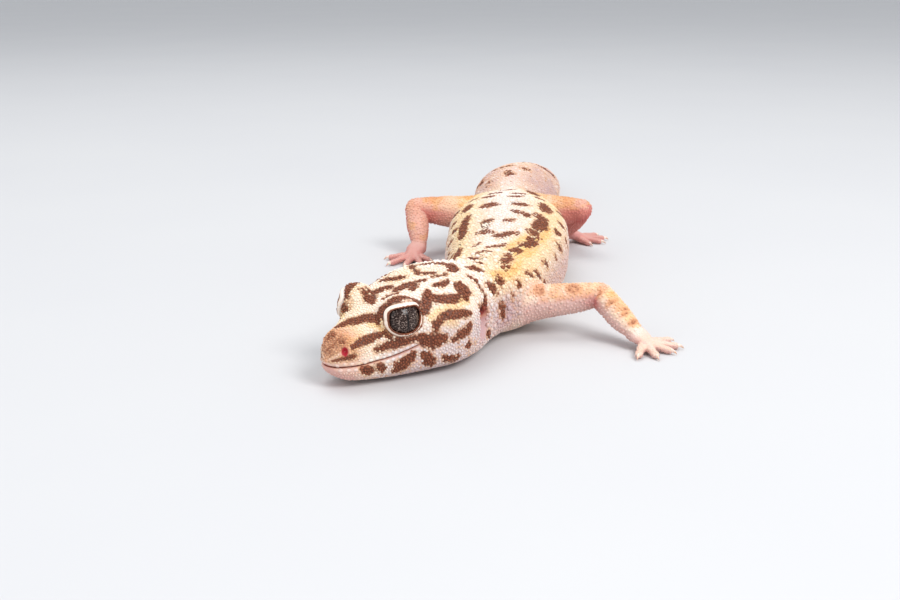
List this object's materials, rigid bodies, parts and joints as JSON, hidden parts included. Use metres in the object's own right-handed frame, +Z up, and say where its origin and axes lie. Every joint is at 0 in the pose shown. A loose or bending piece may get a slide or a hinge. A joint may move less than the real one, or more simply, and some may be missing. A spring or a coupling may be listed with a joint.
{
  "type": "leopard gecko",
  "caption": "Stout lizard with a broad head, bulging lidded eyes, a long low body, short splayed legs with clawed toes and a fat tapering tail, standing low with its head turned.",
  "frame": {"origin": "on the floor under the middle of the bounding box", "axes": "+Z up; +Y from the shoulders towards the tail, so the animal faces -Y; +X to the animal's left"},
  "size_m": [0.0694, 0.1984, 0.0179],
  "materials": {
    "skin": "dry, finely scaled skin with a low sheen",
    "eye": "wet and glossy"
  },
  "bodies": {
    "root": {"head": "skin", "lower_jaw": "skin", "neck": "skin", "trunk": "skin", "tail_base": "skin", "tail_middle": "skin", "tail_tip": "skin", "eye_left": "eye", "eye_right": "eye", "upper_arm_left": "skin", "forearm_left": "skin", "hand_left": "skin", "upper_arm_right": "skin", "forearm_right": "skin", "hand_right": "skin", "thigh_left": "skin", "shin_left": "skin", "foot_left": "skin", "thigh_right": "skin", "shin_right": "skin", "foot_right": "skin"}
  },
  "joints": []
}
